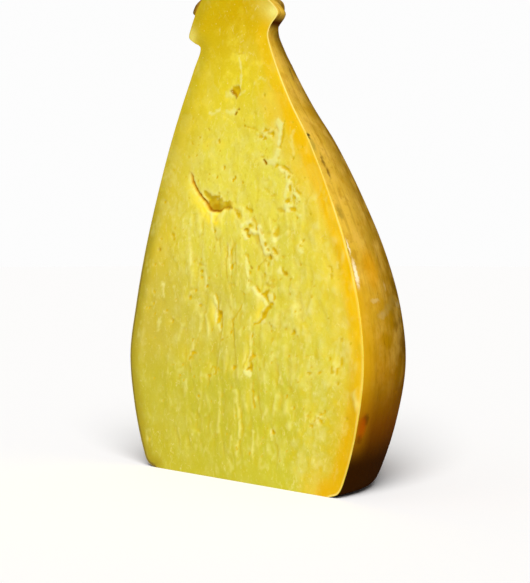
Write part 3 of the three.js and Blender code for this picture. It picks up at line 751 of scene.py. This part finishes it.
STREAK_RADIUS = 100  # one for all heights, so that streaks run unbroken down the pear
mark("rim_mm", half_width * np.minimum(angle, math.pi - angle), rim_mm)
mark("around_mm", half_width * angle, 0)
mark("meridian_mm", STREAK_RADIUS * angle, 0)
mark("turned", np.degrees(angle), 0)
for name, field in [("crevice", crevice), ("ember", ember), ("olive", olive), ("glow", glow)]:
    mark(name, 0, np.clip(read(field, cut_x, cut_z), 0, 1))
for name, field in [("honey", honey), ("bright", bright)]:
    mark(name, 0, np.clip(read(field, cut_x, cut_z), 0, 1) * settle)

right_side = rise(cut_x, -15, 15)
left_side = 1 - right_side
worn = 0.6 + 0.4 * rise(read(lumps(40, 16, 81), cut_x, cut_z), -0.6, 0.8)
mark("right_rim", 0, rise(rim_mm, 1.6, 0.4) * right_side * worn)
mark("left_rim", 0, rise(rim_mm, 2.6, 0.8) * left_side * rise(cut_z, 200, 120))
BAND = [  # height and strength of the golden band
    (20, 0.9), (90, 0.85), (130, 1), (205, 0.95), (240, 0.75), (300, 0.6), (312, 0),
]
under_neck = rise(cut_z, 182, 205) * rise(cut_z, 268, 242)
gold = (0.35 * rise(rim_mm, 32, 8) + 0.65 * rise(rim_mm, 15, 6)) * np.interp(cut_z, *zip(*BAND))
gold += 0.3 * rise(rim_mm, 29, 22) * under_neck
# the golden band, kept to the right side: partly the paste's colour, partly painted glow through the edge
mark("gold", 0, np.clip(gold, 0, 1) * right_side)
mark("left_gold", 0, rise(rim_mm, 48, 4) * left_side * rise(cut_z, 110, 165))
# painted shade along the left edge of the cut
mark("dull", 0, rise(rim_mm, 14, 2) * left_side * (0.45 + 0.55 * rise(cut_z, 215, 160)))

CORD_Z, CORD_RISE, CORD_HALF_HEIGHT = 302, 5, 3.6
BEHIND_FOLD, BEHIND_FOLD_HALF = 177, 2  # degrees
# painted shade in the cord groove under the knob and in the gap behind the fold
cord = np.exp(-(((z_of - CORD_Z - CORD_RISE * behind) / CORD_HALF_HEIGHT) ** 2))
gap = np.exp(-(((np.degrees(angle) - BEHIND_FOLD) / BEHIND_FOLD_HALF) ** 2) - fold_height)
mark("groove", np.maximum(cord, gap), 0)

CREAMY = [  # x, z, half sizes along and across, lean in degrees and strength
    (31, 311, 13, 7, -30, 0.35),
    (37, 309, 6, 5, 0, 0.7),
    (-44, 302, 5, 6, 0, 0.5),
]
cream = np.zeros(cut_x.shape)
for x0, z0, size_x, size_z, lean_deg, strength in CREAMY:
    c, s = math.cos(math.radians(lean_deg)), math.sin(math.radians(lean_deg))
    dx, dz = cut_x - x0, cut_z - z0
    cream += strength * np.exp(-(((dx * c + dz * s) / size_x) ** 2) - ((dz * c - dx * s) / size_z) ** 2)
mark("cream", 0, np.clip(cream, 0, 1))

# The paste
# Stretched cow's-milk curd, cut with a knife and a little oily: soft yellow that light enters by a few mm.
# To the eye it is mottled, with a golden band under the rind and cream edges on flakes, and over its relief
# are painted highlights, a painted glow and painted gold, olive, orange and brown shade.


def paint(code):
    """An sRGB hex colour as linear numbers."""
    parts = [int(code[i:i + 2], 16) / 255 for i in (1, 3, 5)]
    return (*(c / 12.92 if c <= 0.04045 else ((c + 0.055) / 1.055) ** 2.4 for c in parts), 1)


def add(tree, kind, inputs=None, **settings):
    """A shader node with its settings, and its inputs as values or links."""
    made = tree.nodes.new("ShaderNode" + kind)
    for name, value in settings.items():
        setattr(made, name, value)
    for socket, value in (inputs or {}).items():
        if isinstance(value, bpy.types.NodeSocket):
            tree.links.new(value, made.inputs[socket])
        else:
            made.inputs[socket].default_value = value
    return made


def bare(name):
    """A new material and its empty node tree."""
    material = bpy.data.materials.new(name)
    material.use_nodes = True
    material.node_tree.nodes.clear()
    return material, material.node_tree


def layered(tree, values, under, layers):
    """Colours laid over one another. A layer is a colour and what its share follows: the name of a share, or
    a value's name with the two levels it runs between and, unless they are 0 and 1, the shares there."""
    for colour, *rules in layers:
        share = None
        for rule in rules:
            if isinstance(rule, str):
                part = values[rule]
            else:
                levels = {0: values[rule[0]], **dict(enumerate(rule[1:], 1))}
                part = add(tree, "MapRange", levels, interpolation_type="SMOOTHSTEP").outputs[0]
            if share is not None:
                part = add(tree, "Math", {0: share, 1: part}, operation="MULTIPLY").outputs[0]
            share = part
        above = paint(colour) if isinstance(colour, str) else colour
        under = add(tree, "Mix", {0: share, 6: under, 7: above}, data_type="RGBA").outputs[2]
    return under


CURD_RUN = 0.6  # marks are drawn out upright, along the curd
BAND_RUN = 0.12  # the golden band's stripes run along the rind
paste, tree = bare("cut_stretched_curd_paste")
metres = add(tree, "TexCoord").outputs["Object"]
place = add(tree, "VectorMath", {0: metres, "Scale": 1 / MM}, operation="SCALE").outputs[0]
along_curd = add(tree, "VectorMath", {0: place, 1: (1, 1, CURD_RUN)}, operation="MULTIPLY").outputs[0]
value = dict(zip(("side", "depth", "up"), add(tree, "SeparateXYZ", {0: place}).outputs))
for name in (
    "rim_mm", "right_rim", "left_rim", "gold", "left_gold", "dull", "cream",
    "glow", "bright", "honey", "olive", "ember", "crevice",
):
    value[name] = add(tree, "Attribute", attribute_name=name).outputs["Fac"]
band_up = add(tree, "Math", {0: value["up"], 1: BAND_RUN}, operation="MULTIPLY").outputs[0]
along_band = add(tree, "CombineXYZ", {0: value["rim_mm"], 1: band_up}).outputs[0]
PASTE_PATTERNS = [  # name, the way it runs, size in mm and detail
    ("drift", place, 26, 3),
    ("cloud", place, 13, 4),
    ("smear", along_curd, 8, 3),
    ("fibre", along_curd, 2.6, 4),
    ("mottle", place, 6, 4),
    ("wax", place, 9, 5),
    ("fleck", along_curd, 2, 2),
    ("vein", along_curd, 9, 4),
    ("veined", place, 7, 2),
    ("stripe", along_band, 3, 3),
    ("grain", place, 1.6, 4),
    ("oil", place, 5, 3),
]
for name, way, size_mm, detail in PASTE_PATTERNS:
    lumpy = {"Vector": way, "Scale": 1 / size_mm, "Detail": detail}
    value[name] = add(tree, "TexNoise", lumpy).outputs[0]
from_vein = add(tree, "Math", {0: value["vein"], 1: 0.5}, operation="SUBTRACT").outputs[0]
value["from_vein"] = add(tree, "Math", {0: from_vein}, operation="ABSOLUTE").outputs[0]
SPECK_SPACING = 4
speck = add(tree, "TexVoronoi", {"Vector": place, "Scale": 1 / SPECK_SPACING}).outputs
value["from_speck"] = speck["Distance"]
value["speck_draw"] = add(tree, "SeparateColor", {0: speck["Color"]}).outputs[0]
inside_band = ("gold", 0.5, 0.1)
striped = ("stripe", 0.3, 0.65, 0.84, 1)
curd = layered(tree, value, paint("#CFC344"), [
    # Broad tones, duller towards the foot and warmer on the left
    ("#DACC42", ("up", 130, 200)),
    ("#C6BC3C", ("up", 140, 50, 0, 0.6)),
    ("#BCB02C", ("up", 85, 30, 0, 0.6)),
    ("#D4C64A", ("drift", 0.35, 0.65, 0, 0.5)),
    ("#C2A238", ("side", -30, -100, 0, 0.48)),
    # Mottle and fibres of the curd
    ("#DAD070", ("cloud", 0.45, 0.7, 0, 0.45)),
    ("#CAB422", ("smear", 0.48, 0.68, 0, 0.5)),
    ("#C7AE18", ("fibre", 0.42, 0.3, 0, 0.4)),
    ("#DFDA80", ("fibre", 0.58, 0.7, 0, 0.42)),
    ("#B2A038", ("side", 40, -20), ("up", 160, 120, 0, 0.35)),
    ("#B4B01E", ("side", 70, 40), ("up", 100, 60, 0, 0.4)),
    ("#E2CE48", ("side", 45, 70), ("up", 80, 120, 0, 0.45)),
    ("#DED88A", ("side", 35, 60), inside_band, ("mottle", 0.5, 0.74, 0, 0.3)),
    ("#D8BE10", ("side", 35, 60), inside_band, ("mottle", 0.52, 0.3, 0, 0.35)),
    # Neck and knob, where the paste is deeper yellow with pale clouds
    ("#DAC21C", ("up", 215, 270, 0, 0.85)),
    ("#C8A400", ("up", 265, 315, 0, 0.95)),
    ("#E6D23C", ("wax", 0.5, 0.68, 0, 0.75), ("up", 200, 250), ("up", 305, 280, 0.3, 1)),
    # Flecks, and thin veins left by the knife
    ("#F0E68C", ("fleck", 0.62, 0.72), ("up", 160, 240, 0.12, 0.15)),
    ("#ECE49A", ("from_vein", 0.014, 0.004), ("veined", 0.53, 0.63, 0, 0.28)),
    # Edges of the cut, with painted shade along the left edge and a golden band that is partly painted glow
    ("#C6AA10", ("left_gold", 0, 1, 0, 0.45)),
    ("#A49220", "dull"),
    ("#E6B500", "gold", striped),
    ("#C49400", "gold", striped, ("up", 110, 40, 0, 0.5)),
    ("#EFE278", "cream"),
    # Relief: painted glow through thin paste, pale paste with painted highlights,
    # painted gold shade in hollows, and painted olive, orange and dark brown shade in cracks
    ("#F6DC1E", "glow"),
    ("#E2DC82", "bright"),
    ("#CDAA0C", "honey"),
    ("#CBAA0C", "olive"),
    ("#CC8E00", "ember"),
    ("#7A2C00", "crevice"),
    ("#7A6626", "left_rim"),
    ("#F0DE80", "right_rim"),
    ("#F6EE9C", ("from_speck", 0.16, 0.06), ("speck_draw", 0.5, 0.6, 0, 0.3), ("up", 200, 260, 0.3, 1)),
])
grain = add(tree, "Math", {0: value["grain"], 1: value["fibre"]}, operation="ADD").outputs[0]
bumped = add(tree, "Bump", {"Height": grain, "Strength": 0.24, "Distance": 0.9 * MM}).outputs[0]
oily = {0: value["oil"], 1: 0.3, 2: 0.7, 3: 0.42, 4: 0.6}
shader = add(tree, "BsdfPrincipled", {
    "Base Color": curd,
    "Roughness": add(tree, "MapRange", oily, interpolation_type="SMOOTHSTEP").outputs[0],
    "Normal": bumped,
    "IOR": 1.45,
    "Specular IOR Level": 0.03,
    "Subsurface Weight": 0.25,
    "Subsurface Radius": (1.0, 0.6, 0.15),
    "Subsurface Scale": 1.5 * MM,
})
add(tree, "OutputMaterial", {"Surface": shader.outputs[0]})

# The rind
# The same curd, dried hard and oiled by hand while it hung, so it is amber, smooth and a little glossy.
# Its colour runs in streaks down the pear, paler by the cut, with scuffs and dark pricks from handling.
# Painted shade darkens it where the side turns from the light, low down, at the neck and in the cord groove.
STREAK_RUN = 0.09  # streaks are drawn out down the pear
WANDER_SIZE, WANDER_REACH = 2.5, 4  # mm, for the ragged edges of scuffs and pricks
rind, tree = bare("oiled_dried_cheese_rind")
metres = add(tree, "TexCoord").outputs["Object"]
place = add(tree, "VectorMath", {0: metres, "Scale": 1 / MM}, operation="SCALE").outputs[0]
value = {"up": add(tree, "SeparateXYZ", {0: place}).outputs[2]}
for name in ("rim_mm", "around_mm", "meridian_mm", "turned", "groove"):
    value[name] = add(tree, "Attribute", attribute_name=name).outputs["Fac"]
streak_up = add(tree, "Math", {0: value["up"], 1: STREAK_RUN}, operation="MULTIPLY").outputs[0]
down_pear = add(tree, "CombineXYZ", {0: value["meridian_mm"], 1: streak_up}).outputs[0]
RIND_PATTERNS = [  # name, the way it runs, size in mm and detail
    ("drift", place, 30, 4),
    ("bloom", place, 14, 4),
    ("stain", place, 8, 5),
    ("streak", down_pear, 5, 4),
    ("hair", down_pear, 1.8, 3),
    ("pore", place, 2.4, 4),
    ("ripple", down_pear, 3, 4),
    ("dimple", place, 2.5, 3),
    ("oil", place, 12, 4),
]
for name, way, size_mm, detail in RIND_PATTERNS:
    lumpy = {"Vector": way, "Scale": 1 / size_mm, "Detail": detail}
    value[name] = add(tree, "TexNoise", lumpy).outputs[0]
# painted shade is full on the right side and half as strong round the back
near_side = ("turned", 45, 78, 1, 0.5)
low_edge = layered(tree, value, paint("#D8A204"), [("#B87C00", ("up", 85, 50))])
amber = layered(tree, value, paint("#C2982C"), [
    # Broad tones, deeper towards the foot and paler beside the cut
    ("#CFA434", ("up", 220, 185)),
    ("#C99820", ("up", 170, 140)),
    ("#C08A00", ("up", 130, 85)),
    ("#A87800", ("rim_mm", 18, 60, 0, 0.45)),
    ("#E0B63A", ("rim_mm", 26, 2, 0, 0.6)),
    # Painted shade where the side turns away from the light, strongest low down, a deeper brown towards
    # the foot, and painted shade at the neck
    ("#5E3E00", ("turned", 5, 40, 0, 0.8), ("turned", 45, 78, 1, 0.35)),
    ("#3C2400", ("turned", 10, 34, 0, 0.9), ("up", 150, 85), near_side),
    ("#A26C00", ("up", 125, 70, 0, 0.7)),
    ("#3C2400", ("turned", 14, 34, 0, 0.5), ("up", 150, 100), near_side),
    ("#5E3E00", ("turned", 4, 16, 0, 0.4), ("up", 262, 285), ("turned", 22, 60, 1, 0.3)),
    # Mottle, bloom and streaks
    ("#9A7400", ("drift", 0.42, 0.66, 0, 0.35)),
    ("#DCB04C", ("bloom", 0.4, 0.74, 0, 0.55), ("up", 20, 130), ("turned", 48, 26, 0.55, 1)),
    ("#AC7A00", ("stain", 0.5, 0.68, 0, 0.4)),
    ("#865C00", ("streak", 0.5, 0.72, 0, 0.35)),
    ("#745000", ("hair", 0.55, 0.75, 0, 0.3)),
    ("#7E5800", ("pore", 0.55, 0.75, 0, 0.3)),
    # The brown foot, deepened by painted shade that is strongest on the right side, the golden edge above
    # it, and painted shade in the cord groove
    ("#683200", ("up", 85, 40, 0, 0.85), near_side),
    ("#2A1200", ("up", 50, 18, 0, 0.95), near_side),
    (low_edge, ("rim_mm", 18, 0, 0, 0.6), ("up", 150, 125), ("up", 20, 45)),
    ("#401800", "groove"),
])
wander = add(tree, "TexNoise", {"Vector": place, "Scale": 1 / WANDER_SIZE}).outputs["Color"]
wander = add(tree, "VectorMath", {0: wander, 1: (0.5, 0.5, 0)}, operation="SUBTRACT").outputs[0]
reach = (WANDER_REACH, WANDER_REACH, 0)
spot = add(tree, "CombineXYZ", {0: value["around_mm"], 1: value["up"]}).outputs[0]
spot = add(tree, "VectorMath", {0: wander, 1: reach, 2: spot}, operation="MULTIPLY_ADD").outputs[0]
MARKS = [  # place round from the cut's right edge and height, half sizes, strength and colour
    (15.5, 282, 1.2, 2.5, 0.5, "#5A4410"),
    (14, 270, 1.3, 5, 0.6, "#4E3C0C"),
    (16.7, 262, 1.5, 5, 0.35, "#6A5414"),
    (10.8, 233, 5, 3, 0.5, "#A8801C"),
    (0.6, 226.8, 1.2, 2.2, 0.95, "#17140A"),
    (1.5, 221, 2.4, 4, 0.5, "#8E8236"),
    (5.1, 211.5, 1.3, 4, 0.65, "#5E4410"),
    (6.2, 203.5, 1.3, 3.2, 0.65, "#5A3A10"),
    (3.4, 178.5, 2.6, 4.5, 0.55, "#7C6416"),
    (1.7, 157, 0.9, 4.5, 0.7, "#F4EAC0"),
    (2.6, 140.5, 1.6, 8, 0.85, "#F4EAC0"),
    (20, 143, 8, 12, 0.5, "#DE9A00"),
    (17.5, 123.5, 5, 1.4, 0.22, "#E2D3A2"),
    (57, 120, 7, 2, 0.15, "#C8BC8A"),
    (23, 114, 5, 2.2, 0.2, "#C4B884"),
    (28, 116, 6, 2.4, 0.16, "#C0B070"),
    (35, 119, 7, 2.6, 0.16, "#B8A660"),
    (43, 123, 7, 2.6, 0.14, "#B09C54"),
    (34.6, 132, 1.5, 3, 0.25, "#D8C080"),
    (73.5, 134, 3, 8, 0.5, "#7A3A04"),
    (34.5, 148.5, 1.2, 8, 0.3, "#8A5E10"),
    (7.1, 50, 3, 4, 0.7, "#4A2E04"),
    (4.5, 46, 4, 7, 0.75, "#A84A00"),
    (4.2, 38, 3, 3, 0.5, "#5A2402"),
]
for around, z, half_around, half_z, strength, colour in MARKS:
    off = add(tree, "VectorMath", {0: spot, 1: (around, z, 0)}, operation="SUBTRACT").outputs[0]
    shares = (1 / half_around, 1 / half_z, 0)
    scaled = add(tree, "VectorMath", {0: off, 1: shares}, operation="MULTIPLY").outputs[0]
    value["far"] = add(tree, "VectorMath", {0: scaled}, operation="LENGTH").outputs["Value"]
    amber = layered(tree, value, amber, [(colour, ("far", 1.5, 0.35, 0, strength))])
ripple = add(tree, "Math", {0: value["ripple"], 1: value["dimple"]}, operation="ADD").outputs[0]
bumped = add(tree, "Bump", {"Height": ripple, "Strength": 0.25, "Distance": 0.8 * MM}).outputs[0]
oily = {0: value["oil"], 1: 0.3, 2: 0.7, 3: 0.32, 4: 0.5}
shader = add(tree, "BsdfPrincipled", {
    "Base Color": amber,
    "Roughness": add(tree, "MapRange", oily, interpolation_type="SMOOTHSTEP").outputs[0],
    "Normal": bumped,
    "IOR": 1.46,
    "Specular IOR Level": 0.0,
    "Coat Weight": 0.012,
    "Coat Roughness": 0.3,
    "Coat IOR": 1.5,
    "Subsurface Weight": 0.12,
    "Subsurface Radius": (1.0, 0.5, 0.1),
    "Subsurface Scale": 2 * MM,
})
add(tree, "OutputMaterial", {"Surface": shader.outputs[0]})

provola = bpy.data.objects.new("provola_half", body)
bpy.context.scene.collection.objects.link(provola)
body.materials.append(paste)
body.materials.append(rind)
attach(provola, "root")
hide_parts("provola")

# The floor
# A plain, pale and matte studio floor that the cheese stands on, wide enough to reach the horizon.
# It belongs to the setting and isn't part of the cheese.
FLOOR_HALF = 12.0
floor_mesh = bpy.data.meshes.new("floor")
corners = [(a * FLOOR_HALF, b * FLOOR_HALF, 0) for a, b in ((-1, -1), (1, -1), (1, 1), (-1, 1))]
floor_mesh.from_pydata(corners, [], [(0, 1, 2, 3)])
matte, tree = bare("matte_pale_floor")
pale_matte = {"Base Color": paint("#F9F8F7"), "Roughness": 0.9, "Specular IOR Level": 0.0}
shader = add(tree, "BsdfPrincipled", pale_matte)
add(tree, "OutputMaterial", {"Surface": shader.outputs[0]})
floor_mesh.materials.append(matte)
floor_object = bpy.data.objects.new("floor", floor_mesh)
bpy.context.scene.collection.objects.link(floor_object)

# The light
# One large soft key from above on the right, so the torn paste casts short soft shadows to the left.
# The room around it is dim and even, and looks white where it is seen directly.
KEY_AZIMUTH, KEY_ELEVATION = math.radians(43), math.radians(46)
KEY_STRENGTH, KEY_WIDTH = 3.6, math.radians(40)
ROOM_STRENGTH, BACKDROP_STRENGTH = 0.21, 0.98
WHITE = (1, 1, 1, 1)
key = bpy.data.lights.new("key", "SUN")
key.energy = KEY_STRENGTH
key.angle = KEY_WIDTH
key_object = bpy.data.objects.new("key", key)
level_share = math.cos(KEY_ELEVATION)
towards = Vector((
    math.sin(KEY_AZIMUTH) * level_share,
    -math.cos(KEY_AZIMUTH) * level_share,
    math.sin(KEY_ELEVATION),
))
key_object.rotation_euler = towards.to_track_quat("Z", "Y").to_euler()
bpy.context.scene.collection.objects.link(key_object)

world = bpy.data.worlds.new("room")
world.use_nodes = True
tree = world.node_tree
tree.nodes.clear()
seen = add(tree, "LightPath").outputs["Is Camera Ray"]
backdrop = add(tree, "Background", {"Color": WHITE, "Strength": BACKDROP_STRENGTH}).outputs[0]
room = add(tree, "Background", {"Color": WHITE, "Strength": ROOM_STRENGTH}).outputs[0]
mixed = add(tree, "MixShader", {0: seen, 1: room, 2: backdrop}).outputs[0]
add(tree, "OutputWorld", {"Surface": mixed})
bpy.context.scene.world = world
bpy.context.scene.view_settings.view_transform = "Standard"

# The camera
# It stands where the photograph was taken from, right of the cut and just below the cheese's mid-height.
# Distances are in mm from the foot of the cheese's axis. The focal length is in the photograph's pixels.
VIEW_AZIMUTH = math.radians(46.54)
VIEW_DISTANCE, VIEW_HEIGHT = 900, 152.8
AIM_ASIDE, AIM_HEIGHT = 19.3, 127.3
FOCAL_PX, LONG_SIDE_PX = 1348.15, 583
SENSOR_MM = 36
sine, cosine = math.sin(VIEW_AZIMUTH), math.cos(VIEW_AZIMUTH)
stand = Vector((VIEW_DISTANCE * sine, -VIEW_DISTANCE * cosine, VIEW_HEIGHT))
aim = Vector((AIM_ASIDE * cosine, AIM_ASIDE * sine, AIM_HEIGHT))
lens = bpy.data.cameras.new("camera")
lens.sensor_width = SENSOR_MM
lens.lens = FOCAL_PX * SENSOR_MM / LONG_SIDE_PX
camera = bpy.data.objects.new("camera", lens)
camera.location = Vector((axis_x, cut_y, 0)) + stand * MM
camera.rotation_euler = (stand - aim).to_track_quat("Z", "Y").to_euler()
bpy.context.scene.collection.objects.link(camera)
bpy.context.scene.camera = camera
